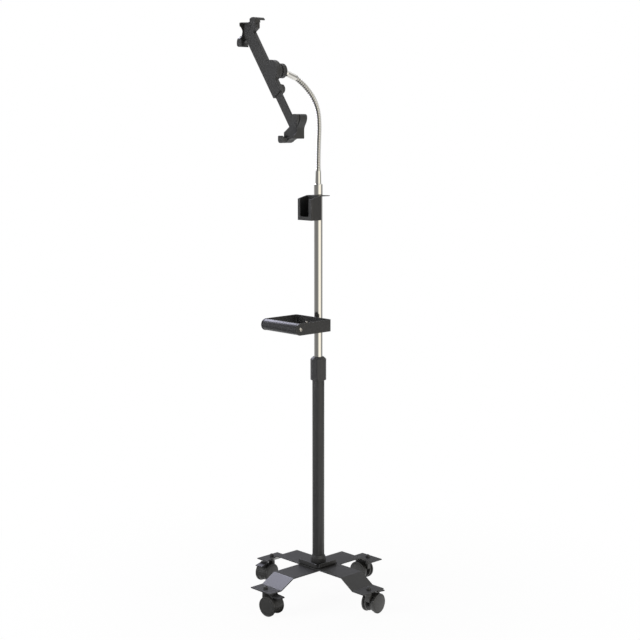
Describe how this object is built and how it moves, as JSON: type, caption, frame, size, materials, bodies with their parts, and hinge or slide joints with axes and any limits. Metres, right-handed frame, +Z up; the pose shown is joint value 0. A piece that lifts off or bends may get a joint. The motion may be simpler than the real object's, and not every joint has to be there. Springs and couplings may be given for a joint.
{
  "type": "adjustable tablet floor stand",
  "caption": "Rolling floor stand with a telescopic post, push handle, open pocket and flexible gooseneck that carries a diagonal corner-grip tablet holder.",
  "frame": {"origin": "on the floor, under the axis of the post", "axes": "+Z up along the post, -Y the way the holder faces, +X to the viewer's right"},
  "size_m": [0.3672, 0.3672, 1.3356],
  "materials": {
    "powder_coat": "satin black powder coat",
    "chrome": "bright chrome plate",
    "zinc_steel": "zinc plated",
    "black_steel": "blackened",
    "black_plastic": "moulded, fine texture",
    "wheel_plastic": "moulded nylon",
    "rubber": "soft, matt"
  },
  "bodies": {
    "base": {"base_lower_strip": "powder_coat", "base_upper_strip": "powder_coat", "centre_plate": "powder_coat", "base_bolt": "zinc_steel", "base_washer": "zinc_steel", "post_foot": "powder_coat", "lower_tube": "powder_coat", "lock_bush": "black_plastic", "lock_collet": "black_plastic", "caster_stems": "zinc_steel", "caster_nuts": "black_steel"},
    "lock_collar": {"lock_collar": "black_plastic"},
    "mast_slide": {"glide_bush": "black_plastic"},
    "mast": {"glide_stops": "black_plastic", "upper_tube": "chrome", "handle_bracket": "powder_coat", "handle_saddle": "black_plastic", "handle_strap": "powder_coat", "handle_clamp_screws": "zinc_steel", "grip_bar": "zinc_steel", "grip_sleeve": "rubber", "grip_screws": "zinc_steel", "pocket": "powder_coat", "neck_connector": "chrome", "gooseneck_1": "chrome"},
    "neck_2": {"gooseneck_2": "chrome"},
    "neck_3": {"gooseneck_3": "chrome"},
    "neck_4": {"gooseneck_4": "chrome"},
    "neck_5": {"gooseneck_5": "chrome"},
    "neck_6": {"gooseneck_6": "chrome"},
    "neck_7": {"gooseneck_7": "chrome"},
    "neck_8": {"gooseneck_8": "chrome"},
    "neck_end": {"neck_end_ferrule": "chrome", "ball_stud": "zinc_steel"},
    "ball_socket": {"ball_socket": "black_plastic"},
    "ball_nut": {"ball_lock_nut": "black_plastic"},
    "holder": {"hub_pivot_screw": "zinc_steel", "hub_plate": "black_plastic", "holder_arm": "black_plastic", "upper_grip": "black_plastic", "upper_grip_pads": "rubber"},
    "slider": {"sliding_bar": "black_plastic", "lower_grip": "black_plastic", "lower_grip_pads": "rubber"},
    "clamp": {"clamp_knob": "black_plastic"},
    "front_caster": {"front_caster_hood": "black_plastic"},
    "front_wheels": {"front_caster_wheels": "wheel_plastic"},
    "front_pedal": {"front_brake_pedal": "black_plastic"},
    "right_caster": {"right_caster_hood": "black_plastic"},
    "right_wheels": {"right_caster_wheels": "wheel_plastic"},
    "right_pedal": {"right_brake_pedal": "black_plastic"},
    "rear_caster": {"rear_caster_hood": "black_plastic"},
    "rear_wheels": {"rear_caster_wheels": "wheel_plastic"},
    "rear_pedal": {"rear_brake_pedal": "black_plastic"},
    "left_caster": {"left_caster_hood": "black_plastic"},
    "left_wheels": {"left_caster_wheels": "wheel_plastic"},
    "left_pedal": {"left_brake_pedal": "black_plastic"}
  },
  "joints": [
    {"name": "collar_twist", "type": "hinge", "parent": "base", "child": "lock_collar", "pos_m": [0, 0, 0.5445], "axis": [0, 0, 1], "range_deg": [0, 180]},
    {"name": "mast_height", "type": "slide", "parent": "base", "child": "mast_slide", "axis": [0, 0, 1], "range_m": [-0.06, 0.24]},
    {"name": "mast_turn", "type": "hinge", "parent": "mast_slide", "child": "mast", "pos_m": [0, 0, 0.3], "axis": [0, 0, 1], "continuous": true},
    {"name": "neck_bend_1", "type": "hinge", "parent": "mast", "child": "neck_2", "pos_m": [0, 0, 1.0306], "axis": [1, 0, 0], "range_deg": [-23, 27]},
    {"name": "neck_bend_2", "type": "hinge", "parent": "neck_2", "child": "neck_3", "pos_m": [0, 0.00101, 1.05958], "axis": [0, -0.999, 0.0436], "range_deg": [-24, 24]},
    {"name": "neck_bend_3", "type": "hinge", "parent": "neck_3", "child": "neck_4", "pos_m": [0, 0.00253, 1.08854], "axis": [1, 0, 0], "range_deg": [-28, 22]},
    {"name": "neck_bend_4", "type": "hinge", "parent": "neck_4", "child": "neck_5", "pos_m": [0, 0.00253, 1.11754], "axis": [0, -0.9936, -0.1132], "range_deg": [-21, 21]},
    {"name": "neck_bend_5", "type": "hinge", "parent": "neck_5", "child": "neck_6", "pos_m": [0, -0.00399, 1.1458], "axis": [1, 0, 0], "range_deg": [-46, 4]},
    {"name": "neck_bend_6", "type": "hinge", "parent": "neck_6", "child": "neck_7", "pos_m": [0, -0.02021, 1.16984], "axis": [0, -0.7604, -0.6494], "range_deg": [-21, 21]},
    {"name": "neck_bend_7", "type": "hinge", "parent": "neck_7", "child": "neck_8", "pos_m": [0, -0.04142, 1.18962], "axis": [1, 0, 0], "range_deg": [-35, 15]},
    {"name": "neck_bend_8", "type": "hinge", "parent": "neck_8", "child": "neck_end", "pos_m": [0, -0.06574, 1.20541], "axis": [0, -0.4305, -0.9026], "range_deg": [-20, 20]},
    {"name": "holder_tilt", "type": "hinge", "parent": "neck_end", "child": "ball_socket", "pos_m": [0, -0.11139, 1.22025], "axis": [1, 0, 0], "range_deg": [-45, 15]},
    {"name": "ball_nut_twist", "type": "hinge", "parent": "ball_socket", "child": "ball_nut", "pos_m": [0, -0.11139, 1.22025], "axis": [0, 1, 0], "range_deg": [0, 90]},
    {"name": "holder_spin", "type": "hinge", "parent": "ball_socket", "child": "holder", "pos_m": [0, -0.11139, 1.22025], "axis": [0, -1, 0], "continuous": true},
    {"name": "arm_slide", "type": "slide", "parent": "holder", "child": "slider", "axis": [0.5723, 0, -0.82], "range_m": [-0.072, 0.053]},
    {"name": "knob_turn", "type": "hinge", "parent": "holder", "child": "clamp", "pos_m": [0.01374, -0.12739, 1.18057], "axis": [0, -1, 0], "range_deg": [0, 180]},
    {"name": "front_swivel", "type": "hinge", "parent": "base", "child": "front_caster", "pos_m": [0, -0.166, 0.045], "axis": [0, 0, 1], "continuous": true},
    {"name": "front_wheel_spin", "type": "hinge", "parent": "front_caster", "child": "front_wheels", "pos_m": [0.01783, -0.1635, 0.023], "axis": [-0.1392, 0.9903, 0], "continuous": true},
    {"name": "front_brake", "type": "hinge", "parent": "front_caster", "child": "front_pedal", "pos_m": [0.02575, -0.16238, 0.0476], "axis": [-0.1392, 0.9903, 0], "range_deg": [0, 18]},
    {"name": "right_swivel", "type": "hinge", "parent": "base", "child": "right_caster", "pos_m": [0.166, 0, 0.045], "axis": [0, 0, 1], "continuous": true},
    {"name": "right_wheel_spin", "type": "hinge", "parent": "right_caster", "child": "right_wheels", "pos_m": [0.1635, 0.01783, 0.023], "axis": [-0.9903, -0.1392, 0], "continuous": true},
    {"name": "right_brake", "type": "hinge", "parent": "right_caster", "child": "right_pedal", "pos_m": [0.16238, 0.02575, 0.0476], "axis": [-0.9903, -0.1392, 0], "range_deg": [0, 18]},
    {"name": "rear_swivel", "type": "hinge", "parent": "base", "child": "rear_caster", "pos_m": [0, 0.166, 0.045], "axis": [0, 0, 1], "continuous": true},
    {"name": "rear_wheel_spin", "type": "hinge", "parent": "rear_caster", "child": "rear_wheels", "pos_m": [-0.01783, 0.1635, 0.023], "axis": [0.1392, -0.9903, 0], "continuous": true},
    {"name": "rear_brake", "type": "hinge", "parent": "rear_caster", "child": "rear_pedal", "pos_m": [-0.02575, 0.16238, 0.0476], "axis": [0.1392, -0.9903, 0], "range_deg": [0, 18]},
    {"name": "left_swivel", "type": "hinge", "parent": "base", "child": "left_caster", "pos_m": [-0.166, 0, 0.045], "axis": [0, 0, 1], "continuous": true},
    {"name": "left_wheel_spin", "type": "hinge", "parent": "left_caster", "child": "left_wheels", "pos_m": [-0.1635, -0.01783, 0.023], "axis": [0.9903, 0.1392, 0], "continuous": true},
    {"name": "left_brake", "type": "hinge", "parent": "left_caster", "child": "left_pedal", "pos_m": [-0.16238, -0.02575, 0.0476], "axis": [0.9903, 0.1392, 0], "range_deg": [0, 18]}
  ]
}
